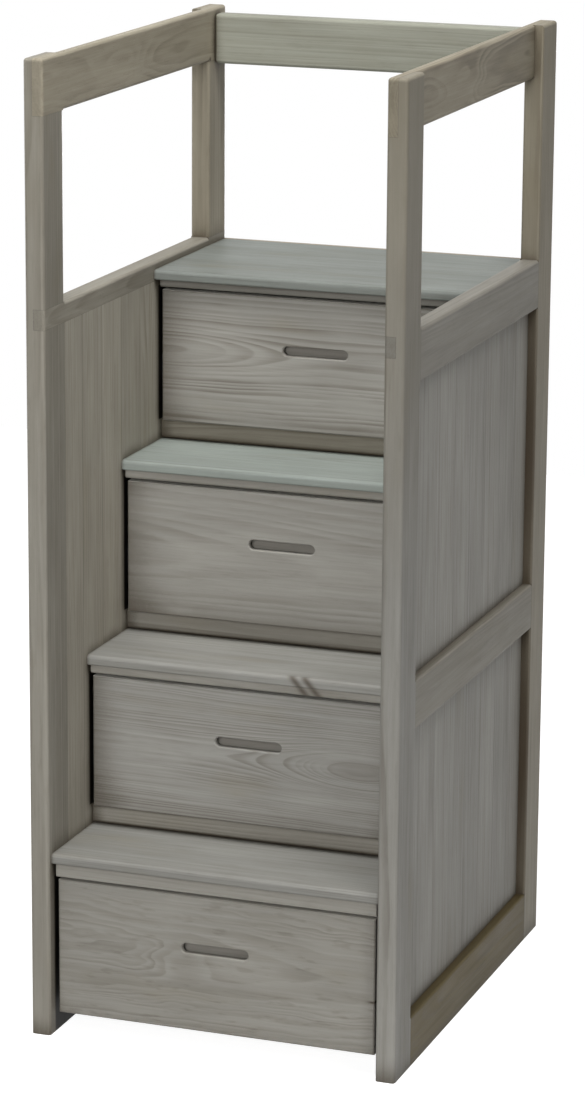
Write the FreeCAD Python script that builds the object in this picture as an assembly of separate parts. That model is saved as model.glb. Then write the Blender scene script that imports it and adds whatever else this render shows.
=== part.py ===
import FreeCAD, Part
import os
from FreeCAD import Vector

# Storage staircase of a bunk bed in solid wood: four steps with a drawer under each, between two
# side frames that rise into guard rails round the landing.
# Millimetres, +Z up, +X to the right of someone who climbs it, +Y from the first step to the back.
# The origin is on the floor under the middle of the staircase.

# Steps
STEP_COUNT = 4
STEP_WIDTH = 595.0
FIRST_TREAD_TOP = 329.0
RISE = 313.0
NOSE_SETBACK = 11.0
GOING = 163.0
LANDING_GOING = 154.0
LANDING_DEPTH = 349.0
TREAD_THICKNESS = 18.0
NOSE_TOP_ROUND = 7.0
NOSE_UNDER_ROUND = 3.0
APRON_THICKNESS = 18.0
FIRST_APRON_HEIGHT = 25.0
APRON_HEIGHT = 15.0
APRON_LEAD = 3.0
APRON_END_GAP = 6.0
APRON_ROUND = 5.0
STRIP_THICKNESS = 18.0
STRIP_HEIGHT = 34.0
STRIP_SETBACK = 19.0
STRIP_FOOT_ROUND = 6.0
CLEAT_SIZE = 18.0
CLEAT_BEVEL = 4.0

# Posts and rails of a side frame
POST_THICKNESS = 35.0
POST_DEPTH = 86.0
FRAME_ROUND = 6.0
GUARD_RAIL_HEIGHT = 95.0
GUARD_RAIL_THICKNESS = 19.0
GUARD_OPENING = 323.0
SHOULDER_LIP = 14.0
SHOULDER_RAIL_HEIGHT = 88.0
SHOULDER_LAP_HEIGHT = 35.0
SHOULDER_LAP_WIDTH = 20.0
SIDE_PANEL_THICKNESS = 18.0
MIDDLE_RAIL_BOTTOM = 600.0
MIDDLE_RAIL_HEIGHT = 84.0
BOTTOM_RAIL_HEIGHT = 88.0
RECESS_EDGE_ROUND = 4.0

# Back guard rail, its dowels and the back panel
BACK_RAIL_HEIGHT = 90.0
BACK_RAIL_THICKNESS = 35.0
BACK_RAIL_DROP = 11.0
BACK_RAIL_ROUND = 6.0
DOWEL_DIAMETER = 12.0
DOWEL_LENGTH = 60.0
DOWEL_COVER = 9.0
DOWEL_SPACING = 46.0
DOWEL_CLEARANCE = 0.15
BACK_PANEL_THICKNESS = 10.0
BACK_RABBET_WIDTH = 10.0
BACK_PANEL_FLOOR_GAP = 12.0

# Drawer fronts and their finger slots
FIRST_NOSE_OVERHANG = 9.0
STEP_NOSE_OVERHANG = 6.0
LANDING_NOSE_OVERHANG = 19.0
FRONT_THICKNESS = 20.0
FRONT_SIDE_GAP = 8.5
FRONT_TOP_GAP = 5.0
FRONT_BOTTOM_GAP = 3.0
FIRST_FRONT_FLOOR_GAP = 38.0
FRONT_EDGE_ROUND = 2.5
SLOT_LENGTH = 121.0
SLOT_HEIGHT = 17.0
SLOT_DROP = 95.0
SLOT_FLARE = 2.0
SLOT_RELIEF_DEPTH = 10.0
SLOT_RELIEF_MARGIN = 7.0

# Drawer boxes
SLIDE_SPACE = 13.0
BOX_WALL = 15.0
BOX_LIFT = 8.0
BOX_TOP_DROP = 42.0
BOX_EDGE_ROUND = 3.0
BOX_BACK_GAP = 15.0
BOTTOM_THICKNESS = 6.0
BOTTOM_LIFT = 10.0
BOTTOM_GROOVE_DEPTH = 6.0
BOTTOM_GROOVE_CLEARANCE = 0.3

# Drawer slides: two nested steel channels at each side of a drawer
SLIDE_HEIGHT = 45.0
SLIDE_SHEET = 1.5
SLIDE_TIP_GAP = 1.5
SLIDE_CLEARANCE = 0.3
SLIDE_LENGTH_SHARE = 0.9
SLIDE_HEIGHT_SHARE = 0.45

# Every cut passes the faces that it opens by this much, and two places are the same place where they
# are nearer than this share of it
OVERRUN = 5.0
SAME_PLACE_SHARE = 0.0002

# Places that follow from the sizes above
TREAD_TOPS = [FIRST_TREAD_TOP + step * RISE for step in range(STEP_COUNT)]
SHOULDER_TOP = TREAD_TOPS[-1] + SHOULDER_LIP
HEIGHT = SHOULDER_TOP + GUARD_OPENING + GUARD_RAIL_HEIGHT
LANDING_NOSE_SETBACK = NOSE_SETBACK + (STEP_COUNT - 2) * GOING + LANDING_GOING
DEPTH = LANDING_NOSE_SETBACK + LANDING_DEPTH + BACK_PANEL_THICKNESS
INNER_X = STEP_WIDTH / 2
OUTER_X = INNER_X + POST_THICKNESS
FRONT_Y = -DEPTH / 2
BACK_Y = DEPTH / 2
FRONT_POST_BACK_Y = FRONT_Y + POST_DEPTH
REAR_POST_FRONT_Y = BACK_Y - POST_DEPTH
PANEL_OUTER_X = INNER_X + SIDE_PANEL_THICKNESS
BACK_PANEL_FRONT_Y = BACK_Y - BACK_PANEL_THICKNESS
SHOULDER_LAP_BOTTOM = SHOULDER_TOP - SHOULDER_LAP_HEIGHT

NOSES = [FRONT_Y + NOSE_SETBACK + step * GOING for step in range(STEP_COUNT - 1)]
NOSES.append(FRONT_Y + LANDING_NOSE_SETBACK)
OVERHANGS = [FIRST_NOSE_OVERHANG] + [STEP_NOSE_OVERHANG] * (STEP_COUNT - 2) + [LANDING_NOSE_OVERHANG]
FACES = [nose + overhang for nose, overhang in zip(NOSES, OVERHANGS)]
APRON_HEIGHTS = [FIRST_APRON_HEIGHT] + [APRON_HEIGHT] * (STEP_COUNT - 1)


def block(x_range, y_range, z_range):
    """A box between two places on each axis."""
    low = Vector(x_range[0], y_range[0], z_range[0])
    high = Vector(x_range[1], y_range[1], z_range[1])
    size = high - low
    return Part.makeBox(size.x, size.y, size.z, low)


def mirrored(shape):
    """The same piece on the other side of the staircase."""
    return shape.mirror(Vector(0, 0, 0), Vector(1, 0, 0))


def lies_at(low, high, place):
    """Whether an edge, from its low to its high along one axis, stays at one place; None is any."""
    return place is None or max(abs(low - place), abs(high - place)) < OVERRUN * SAME_PLACE_SHARE


def rounded(shape, radius, x=None, y=None, z=None):
    """Rounds the edges that lie at the given places."""
    edges = []
    for edge in shape.Edges:
        box = edge.BoundBox
        across = lies_at(box.XMin, box.XMax, x)
        along = lies_at(box.YMin, box.YMax, y)
        if across and along and lies_at(box.ZMin, box.ZMax, z):
            edges.append(edge)
    return shape.makeFillet(radius, edges)


def round_over(corner, run, inward, other_inward, radius):
    """The waste that a round-over cutter takes off one straight edge.

    The edge starts at the corner and follows the run; the two inward directions lie in the faces
    that meet there.
    """
    near = corner + inward * radius
    far = corner + other_inward * radius
    centre = near + other_inward * radius
    middle = centre - (inward + other_inward).normalize() * radius
    out = inward * -OVERRUN
    other_out = other_inward * -OVERRUN
    points = [near, near + other_out, corner + out + other_out, far + out, far]
    edges = [Part.LineSegment(a, b).toShape() for a, b in zip(points, points[1:])]
    edges.append(Part.Arc(far, middle, near).toShape())
    return Part.Face(Part.Wire(edges)).extrude(run)


def prism_along_y(points, y_range):
    """A straight piece of one section, given as points across (X) and up (Z)."""
    corners = [Vector(x, y_range[0], z) for x, z in points]
    section = Part.Face(Part.makePolygon(corners + corners[:1]))
    return section.extrude(Vector(0, y_range[1] - y_range[0], 0))


def slot_outline(z, y, growth):
    """Round-ended outline of the finger slot, centred across the staircase and grown all round."""
    length = SLOT_LENGTH + 2 * growth
    height = SLOT_HEIGHT + 2 * growth
    low = Vector(0, y, z - height / 2)
    high = Vector(0, y, z + height / 2)
    along = Vector((length - height) / 2, 0, 0)
    tip = Vector(length / 2, y, z)
    other_tip = Vector(-length / 2, y, z)
    return Part.Wire([
        Part.LineSegment(low - along, low + along).toShape(),
        Part.Arc(low + along, tip, high + along).toShape(),
        Part.LineSegment(high + along, high - along).toShape(),
        Part.Arc(high - along, other_tip, low - along).toShape(),
    ])


def slot_bar(z, y_range, growths):
    """The space of a finger slot from one depth to another, grown by one amount at each."""
    outlines = [slot_outline(z, y, growth) for y, growth in zip(y_range, growths)]
    return Part.makeLoft(outlines, True, True)


# Dowels that pin the back guard rail to the side frames

def dowel_places():
    """Middle of each dowel on the right side, one above the other."""
    rail_middle_z = HEIGHT - BACK_RAIL_DROP - BACK_RAIL_HEIGHT / 2
    post_middle_y = BACK_Y - POST_DEPTH / 2
    return [(post_middle_y, rail_middle_z + side * DOWEL_SPACING / 2) for side in (-1, 1)]


def dowel_bars(clearance):
    """Round bars for the right-hand dowels, or for their holes with the clearance all round."""
    inner_end = OUTER_X - DOWEL_COVER - DOWEL_LENGTH - clearance
    return [
        Part.makeCylinder(DOWEL_DIAMETER / 2 + clearance, DOWEL_LENGTH + 2 * clearance,
                          Vector(inner_end, y, z), Vector(1, 0, 0))
        for y, z in dowel_places()
    ]


# Right side frame; the left one is its mirror image

def guard_rail_bar():
    """The guard rail before shaping, flush with the posts' inner faces, lapped through both posts."""
    return block((INNER_X, INNER_X + GUARD_RAIL_THICKNESS), (FRONT_Y, BACK_Y),
                 (HEIGHT - GUARD_RAIL_HEIGHT, HEIGHT))


def shoulder_lap_bar():
    """The part of the shoulder rail that passes through the inner side of both posts."""
    return block((INNER_X, INNER_X + SHOULDER_LAP_WIDTH), (FRONT_Y, BACK_Y),
                 (SHOULDER_LAP_BOTTOM, SHOULDER_TOP))


def frame_envelope():
    """Outline of the glued-up side frame, rounded over on every outer edge but those on the floor."""
    outline = block((INNER_X, OUTER_X), (FRONT_Y, BACK_Y), (0, HEIGHT))
    edges = [edge for edge in outline.Edges if edge.BoundBox.ZMax > OVERRUN]
    return outline.makeFillet(FRAME_ROUND, edges)


def front_post():
    """Post with notches on its inner side for the guard rail and the shoulder rail."""
    post = frame_envelope().common(block((INNER_X, OUTER_X), (FRONT_Y, FRONT_POST_BACK_Y), (0, HEIGHT)))
    post = post.cut(guard_rail_bar()).cut(shoulder_lap_bar())
    into_post = Vector(0, -1, 0)
    window_bottom = Vector(INNER_X, FRONT_POST_BACK_Y, SHOULDER_TOP)
    window = Vector(0, 0, GUARD_OPENING)
    waste = [round_over(window_bottom, window, Vector(1, 0, 0), into_post, FRAME_ROUND)]
    recesses = [
        (BOTTOM_RAIL_HEIGHT, MIDDLE_RAIL_BOTTOM),
        (MIDDLE_RAIL_BOTTOM + MIDDLE_RAIL_HEIGHT, SHOULDER_TOP - SHOULDER_RAIL_HEIGHT),
        (SHOULDER_TOP, HEIGHT),
    ]
    for bottom, top in recesses:
        corner = Vector(OUTER_X, FRONT_POST_BACK_Y, bottom)
        run = Vector(0, 0, top - bottom)
        waste.append(round_over(corner, run, Vector(-1, 0, 0), into_post, RECESS_EDGE_ROUND))
    return post.cut(waste)


def back_rabbet():
    """Cut in the frame's rear inner edge, up to the landing, that takes the back panel."""
    return block((INNER_X - OVERRUN, INNER_X + BACK_RABBET_WIDTH),
                 (BACK_PANEL_FRONT_Y, BACK_Y + OVERRUN), (-OVERRUN, TREAD_TOPS[-1]))


def rear_post():
    """Mirror image of the front post, rabbeted for the back panel and drilled for the dowels."""
    post = front_post().mirror(Vector(0, 0, 0), Vector(0, 1, 0))
    return post.cut([back_rabbet()] + dowel_bars(DOWEL_CLEARANCE))


def guard_rail():
    """Top rail of the side frame, rounded along its lower edges and its outer top edge."""
    rail = frame_envelope().common(guard_rail_bar())
    run = Vector(0, REAR_POST_FRONT_Y - FRONT_POST_BACK_Y, 0)
    outward, inward, up, down = Vector(1, 0, 0), Vector(-1, 0, 0), Vector(0, 0, 1), Vector(0, 0, -1)
    outer_x = INNER_X + GUARD_RAIL_THICKNESS
    bottom = HEIGHT - GUARD_RAIL_HEIGHT
    waste = [
        round_over(Vector(INNER_X, FRONT_POST_BACK_Y, bottom), run, outward, up, FRAME_ROUND),
        round_over(Vector(outer_x, FRONT_POST_BACK_Y, bottom), run, inward, up, FRAME_ROUND),
        round_over(Vector(outer_x, FRONT_POST_BACK_Y, HEIGHT), run, inward, down, FRAME_ROUND),
    ]
    return rail.cut(waste + dowel_bars(DOWEL_CLEARANCE))


def shoulder_rail():
    """L-shaped rail over the side panel: full thickness on top, the panel behind its lower part."""
    between_posts = (FRONT_POST_BACK_Y, REAR_POST_FRONT_Y)
    bottom = SHOULDER_TOP - SHOULDER_RAIL_HEIGHT
    section = [
        (INNER_X, SHOULDER_LAP_BOTTOM),
        (PANEL_OUTER_X, SHOULDER_LAP_BOTTOM),
        (PANEL_OUTER_X, bottom),
        (OUTER_X, bottom),
        (OUTER_X, SHOULDER_TOP),
        (INNER_X, SHOULDER_TOP),
    ]
    rail = prism_along_y(section, between_posts)
    rail = rounded(rail, FRAME_ROUND, x=INNER_X, z=SHOULDER_TOP)
    rail = rounded(rail, FRAME_ROUND, x=OUTER_X, z=SHOULDER_TOP)
    rail = rounded(rail, RECESS_EDGE_ROUND, x=OUTER_X, z=bottom)
    gap = block((INNER_X, OUTER_X), between_posts, (SHOULDER_LAP_BOTTOM, SHOULDER_TOP))
    laps = frame_envelope().common(shoulder_lap_bar()).cut(gap)
    return rail.fuse(laps).cut(back_rabbet()).removeSplitter()


def plain_rail(bottom, top, rounded_edges):
    """Board laid over the side panel between the posts, rounded along the given edges."""
    rail = block((PANEL_OUTER_X, OUTER_X), (FRONT_POST_BACK_Y, REAR_POST_FRONT_Y), (bottom, top))
    for edge_z in rounded_edges:
        rail = rounded(rail, RECESS_EDGE_ROUND, x=OUTER_X, z=edge_z)
    return rail


def side_panel():
    """Glued-up panel behind the rails, flush with the posts' inner faces."""
    return block((INNER_X, PANEL_OUTER_X), (FRONT_POST_BACK_Y, REAR_POST_FRONT_Y), (0, SHOULDER_LAP_BOTTOM))


def side_frame():
    """Every piece of the right side frame by name."""
    middle_top = MIDDLE_RAIL_BOTTOM + MIDDLE_RAIL_HEIGHT
    return {
        "front_post": front_post(),
        "rear_post": rear_post(),
        "guard_rail": guard_rail(),
        "shoulder_rail": shoulder_rail(),
        "middle_rail": plain_rail(MIDDLE_RAIL_BOTTOM, middle_top, (MIDDLE_RAIL_BOTTOM, middle_top)),
        "bottom_rail": plain_rail(0, BOTTOM_RAIL_HEIGHT, (BOTTOM_RAIL_HEIGHT,)),
        "side_panel": side_panel(),
    }


# Back

def back_guard_rail():
    """Rail between the middles of the rear posts, drilled at both ends for its dowels."""
    front = BACK_Y - (POST_DEPTH + BACK_RAIL_THICKNESS) / 2
    top = HEIGHT - BACK_RAIL_DROP
    rail = block((-INNER_X, INNER_X), (front, front + BACK_RAIL_THICKNESS), (top - BACK_RAIL_HEIGHT, top))
    rail = rail.makeFillet(BACK_RAIL_ROUND, rail.Edges)
    holes = dowel_bars(DOWEL_CLEARANCE)
    return rail.cut(holes + [mirrored(hole) for hole in holes])


def guard_rail_dowels():
    """Two dowels at each end of the back guard rail."""
    right = dowel_bars(0)
    return Part.makeCompound(right + [mirrored(bar) for bar in right])


def back_panel():
    """Panel in the rabbets of the rear posts, from just above the floor to the landing."""
    reach = INNER_X + BACK_RABBET_WIDTH
    return block((-reach, reach), (BACK_PANEL_FRONT_Y, BACK_Y), (BACK_PANEL_FLOOR_GAP, TREAD_TOPS[-1]))


# Steps, numbered from the floor

def tread_back(step):
    """Rear edge of a tread: behind the riser strip on it, or at the back panel for the landing."""
    if step == STEP_COUNT - 1:
        return BACK_PANEL_FRONT_Y
    return FACES[step + 1] + STRIP_SETBACK + STRIP_THICKNESS


def tread(step):
    """Step board with a rounded nose."""
    top, nose = TREAD_TOPS[step], NOSES[step]
    bottom = top - TREAD_THICKNESS
    board = block((-INNER_X, INNER_X), (nose, tread_back(step)), (bottom, top))
    board = rounded(board, NOSE_TOP_ROUND, y=nose, z=top)
    return rounded(board, NOSE_UNDER_ROUND, y=nose, z=bottom)


def apron(step):
    """Strip under the nose, a little in front of the drawer, rounded along its lower edge."""
    front = FACES[step] - APRON_LEAD
    reach = INNER_X - APRON_END_GAP
    top = TREAD_TOPS[step] - TREAD_THICKNESS
    bottom = top - APRON_HEIGHTS[step]
    strip = block((-reach, reach), (front, front + APRON_THICKNESS), (bottom, top))
    return rounded(strip, APRON_ROUND, y=front, z=bottom)


def riser_strip(step):
    """Strip below a drawer, standing on the tread beneath, rounded along its foot."""
    front = FACES[step] + STRIP_SETBACK
    bottom = TREAD_TOPS[step - 1]
    strip = block((-INNER_X, INNER_X), (front, front + STRIP_THICKNESS), (bottom, bottom + STRIP_HEIGHT))
    return rounded(strip, STRIP_FOOT_ROUND, y=front, z=bottom)


def right_cleats():
    """Battens that carry the treads, screwed to the right side frame."""
    cleats = []
    for step, tread_top in enumerate(TREAD_TOPS):
        top = tread_top - TREAD_THICKNESS
        section = [
            (INNER_X, top),
            (INNER_X - CLEAT_SIZE, top),
            (INNER_X - CLEAT_SIZE, top - CLEAT_SIZE + CLEAT_BEVEL),
            (INNER_X - CLEAT_SIZE + CLEAT_BEVEL, top - CLEAT_SIZE),
            (INNER_X, top - CLEAT_SIZE),
        ]
        start = FACES[step] - APRON_LEAD + APRON_THICKNESS
        cleats.append(prism_along_y(section, (start, tread_back(step))))
    return Part.makeCompound(cleats)


# Drawers, numbered as the steps above them

class Drawer:
    """One drawer at rest: a slotted front on a box that hangs on two slides."""

    def __init__(self, step):
        self.face = FACES[step]
        self.front_top = TREAD_TOPS[step] - TREAD_THICKNESS - APRON_HEIGHTS[step] - FRONT_TOP_GAP
        self.front_bottom = FIRST_FRONT_FLOOR_GAP
        if step > 0:
            self.front_bottom = TREAD_TOPS[step - 1] + STRIP_HEIGHT + FRONT_BOTTOM_GAP
        self.box_x = INNER_X - SLIDE_SPACE
        self.wall_x = self.box_x - BOX_WALL
        self.box_y = (self.face + FRONT_THICKNESS, BACK_PANEL_FRONT_Y - BOX_BACK_GAP)
        self.box_z = (self.front_bottom + BOX_LIFT, self.front_top - BOX_TOP_DROP)
        self.bottom_z = self.box_z[0] + BOTTOM_LIFT
        self.slide_length = (self.box_y[1] - self.box_y[0]) * SLIDE_LENGTH_SHARE
        self.slide_z = self.box_z[0] + (self.box_z[1] - self.box_z[0]) * SLIDE_HEIGHT_SHARE

    def front(self):
        """Front board with the flared finger slot, relieved behind so that fingertips hook the lip."""
        reach = INNER_X - FRONT_SIDE_GAP
        back = self.face + FRONT_THICKNESS
        slot_z = self.front_top - SLOT_DROP
        board = block((-reach, reach), (self.face, back), (self.front_bottom, self.front_top))
        board = rounded(board, FRONT_EDGE_ROUND, y=self.face)
        flare_y = (self.face - OVERRUN, self.face + SLOT_FLARE)
        flare = slot_bar(slot_z, flare_y, (SLOT_FLARE + OVERRUN, 0))
        throat = slot_bar(slot_z, (self.face, back), (0, 0))
        relief_y = (back - SLOT_RELIEF_DEPTH, back + OVERRUN)
        relief = slot_bar(slot_z, relief_y, (SLOT_RELIEF_MARGIN, SLOT_RELIEF_MARGIN))
        return board.cut([flare, throat, relief])

    def groove(self):
        """Space for the bottom board and its clearance, as deep into the walls as the grooves go."""
        reach = self.wall_x + BOTTOM_GROOVE_DEPTH
        depth = BOX_WALL - BOTTOM_GROOVE_DEPTH
        return block((-reach, reach), (self.box_y[0] + depth, self.box_y[1] - depth),
                     (self.bottom_z, self.bottom_z + BOTTOM_THICKNESS + BOTTOM_GROOVE_CLEARANCE))

    def bottom(self):
        """Thin board that rests in the grooves of the four walls."""
        reach = self.wall_x + BOTTOM_GROOVE_DEPTH - BOTTOM_GROOVE_CLEARANCE
        depth = BOX_WALL - BOTTOM_GROOVE_DEPTH + BOTTOM_GROOVE_CLEARANCE
        return block((-reach, reach), (self.box_y[0] + depth, self.box_y[1] - depth),
                     (self.bottom_z, self.bottom_z + BOTTOM_THICKNESS))

    def right_side(self):
        """Side wall, rounded along the top, with the groove for the bottom."""
        wall = block((self.wall_x, self.box_x), self.box_y, self.box_z)
        wall = rounded(wall, BOX_EDGE_ROUND, x=self.wall_x, z=self.box_z[1])
        wall = rounded(wall, BOX_EDGE_ROUND, x=self.box_x, z=self.box_z[1])
        return wall.cut(self.groove())

    def cross_wall(self, y_range):
        """Inner front or back wall between the two sides."""
        return block((-self.wall_x, self.wall_x), y_range, self.box_z).cut(self.groove())

    def channel(self, back_x, opening, height):
        """Steel channel on edge: a web at one place across and two flanges towards the opening."""
        reach = SLIDE_SPACE - SLIDE_SHEET - SLIDE_TIP_GAP
        low, high = self.slide_z - height / 2, self.slide_z + height / 2
        web = back_x + opening * SLIDE_SHEET
        tip = back_x + opening * reach
        section = [
            (back_x, low), (tip, low), (tip, low + SLIDE_SHEET), (web, low + SLIDE_SHEET),
            (web, high - SLIDE_SHEET), (tip, high - SLIDE_SHEET), (tip, high), (back_x, high),
        ]
        start = self.box_y[0]
        return prism_along_y(section, (start, start + self.slide_length))

    def case_slides(self):
        """Outer channels, fixed to the side frames."""
        right = self.channel(INNER_X, -1, SLIDE_HEIGHT)
        return [right, mirrored(right)]

    def box_slides(self):
        """Inner channels, fixed to the drawer's sides and running inside the outer ones."""
        height = SLIDE_HEIGHT - 2 * SLIDE_SHEET - 2 * SLIDE_CLEARANCE
        right = self.channel(self.box_x, 1, height)
        return Part.makeCompound([right, mirrored(right)])

    def pieces(self):
        """Every piece that moves with the drawer, by name."""
        side = self.right_side()
        return {
            "front": self.front(),
            "inner_front": self.cross_wall((self.box_y[0], self.box_y[0] + BOX_WALL)),
            "left_side": mirrored(side),
            "right_side": side,
            "back": self.cross_wall((self.box_y[1] - BOX_WALL, self.box_y[1])),
            "bottom": self.bottom(),
            "slides": self.box_slides(),
        }


def staircase():
    """Every piece of the staircase by node name."""
    nodes = {}
    for name, shape in side_frame().items():
        nodes["right_" + name] = shape
        nodes["left_" + name] = mirrored(shape)
    nodes["back_guard_rail"] = back_guard_rail()
    nodes["guard_rail_dowels"] = guard_rail_dowels()
    nodes["back_panel"] = back_panel()
    nodes["right_tread_cleats"] = right_cleats()
    nodes["left_tread_cleats"] = mirrored(nodes["right_tread_cleats"])
    case_slides = []
    for step in range(STEP_COUNT):
        number = step + 1
        nodes["landing" if number == STEP_COUNT else f"tread_{number}"] = tread(step)
        nodes[f"apron_{number}"] = apron(step)
        if step > 0:
            nodes[f"riser_strip_{number}"] = riser_strip(step)
        drawer = Drawer(step)
        case_slides += drawer.case_slides()
        for name, shape in drawer.pieces().items():
            nodes[f"drawer_{number}_{name}"] = shape
    nodes["case_slides"] = Part.makeCompound(case_slides)
    return nodes


os.makedirs("parts", exist_ok=True)
for node, shape in staircase().items():
    print(node, "solids", len(shape.Solids), "valid", shape.isValid(), "volume", round(shape.Volume))
    shape.exportStep(f"parts/{node}.step")
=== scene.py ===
"""Dresses a bunk bed's storage staircase in grey-washed pine, with its drawer boxes, slides and screws."""
import logging
import math
import random
from dataclasses import dataclass, field, replace
from enum import Enum
from typing import Any, Iterator, Sequence

import bmesh
import bpy
from bmesh.types import BMEdge, BMesh, BMFace, BMVert
from mathutils import Matrix, Vector


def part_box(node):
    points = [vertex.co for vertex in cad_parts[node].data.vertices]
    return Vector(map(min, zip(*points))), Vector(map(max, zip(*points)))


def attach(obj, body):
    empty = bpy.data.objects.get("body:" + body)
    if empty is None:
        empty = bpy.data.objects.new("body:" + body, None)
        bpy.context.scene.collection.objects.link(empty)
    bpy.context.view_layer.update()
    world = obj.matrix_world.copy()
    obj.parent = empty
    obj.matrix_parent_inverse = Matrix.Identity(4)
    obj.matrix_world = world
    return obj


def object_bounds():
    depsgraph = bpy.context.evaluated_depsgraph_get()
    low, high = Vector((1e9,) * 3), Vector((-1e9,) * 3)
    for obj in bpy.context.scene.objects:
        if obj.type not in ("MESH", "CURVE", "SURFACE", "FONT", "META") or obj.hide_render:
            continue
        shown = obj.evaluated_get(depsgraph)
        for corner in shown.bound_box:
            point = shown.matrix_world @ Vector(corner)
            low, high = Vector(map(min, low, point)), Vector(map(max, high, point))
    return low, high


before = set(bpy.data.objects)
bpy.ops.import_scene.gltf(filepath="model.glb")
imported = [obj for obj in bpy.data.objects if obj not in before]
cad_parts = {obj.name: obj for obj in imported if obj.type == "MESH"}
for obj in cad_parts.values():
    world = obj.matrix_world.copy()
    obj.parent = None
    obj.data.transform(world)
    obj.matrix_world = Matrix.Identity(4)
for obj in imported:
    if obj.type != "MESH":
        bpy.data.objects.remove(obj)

CAD_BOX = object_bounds()
STEP_COUNT = 4
BODY_OF_CASE = "frame"
LOG = logging.getLogger("staircase")

Colour = tuple[int, int, int]
Linear = tuple[float, float, float, float]
Triple = tuple[float, float, float]
Socket = bpy.types.NodeSocket
Sockets = bpy.types.bpy_prop_collection
Value = Socket | float
Kinds = dict[str, Sequence[str]]

WHITE: Linear = (1.0, 1.0, 1.0, 1.0)
SURFACE: Kinds = {"Color": ["Color"], "Float": ["Roughness", "Height"]}


class Side(Enum):
    """The two sides of the staircase, seen by someone who climbs it."""

    LEFT = "left"
    RIGHT = "right"

    @property
    def outward(self) -> int:
        """Gives the sign of X that points out of the staircase on this side."""
        return 1 if self is Side.RIGHT else -1


class Slot(Enum):
    """The material slots that the record names."""

    PINE = "grey_washed_pine"
    BOX_WOOD = "drawer_box_wood"
    THIN_BOARD = "thin_board"
    DOWEL = "dowel_wood"
    STEEL = "zinc_plated_steel"


class Lie(Enum):
    """How a board lies: the axes along its grain, across its width and through its thickness."""

    ACROSS_UPRIGHT = "XZY"
    ACROSS_FLAT = "XYZ"
    UPRIGHT_SIDE = "ZYX"
    UPRIGHT_BACK = "ZXY"
    DEEP_UPRIGHT = "YZX"
    DEEP_FLAT = "YXZ"

    def turn(self) -> Matrix:
        """Gives the rotation that brings the grain to X, the width to Y and the thickness to Z.

        Returns:
            A right-handed rotation matrix.
        """
        rows = [Vector([1.0 if axis == letter else 0.0 for axis in "XYZ"]) for letter in self.value]
        if rows[0].cross(rows[1]).dot(rows[2]) < 0:
            rows[2].negate()
        return Matrix(rows)


def linear(colour: Colour) -> Linear:
    """Turns a screen colour into the linear one that a shader takes, by the sRGB standard's curve.

    Args:
        colour: Red, green and blue from 0 to 255.

    Returns:
        Linear red, green, blue and an alpha of 1.
    """
    shares = [channel / 255 for channel in colour]
    parts = [s / 12.92 if s <= 0.04045 else ((s + 0.055) / 1.055) ** 2.4 for s in shares]
    return parts[0], parts[1], parts[2], 1.0


def inputs_of(item: Any, *names: str) -> dict[str, float]:
    """Gives fields of an item by the names of the inputs that they feed, such as Ring Width."""
    return {name.replace("_", " ").title(): getattr(item, name) for name in names}


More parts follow.
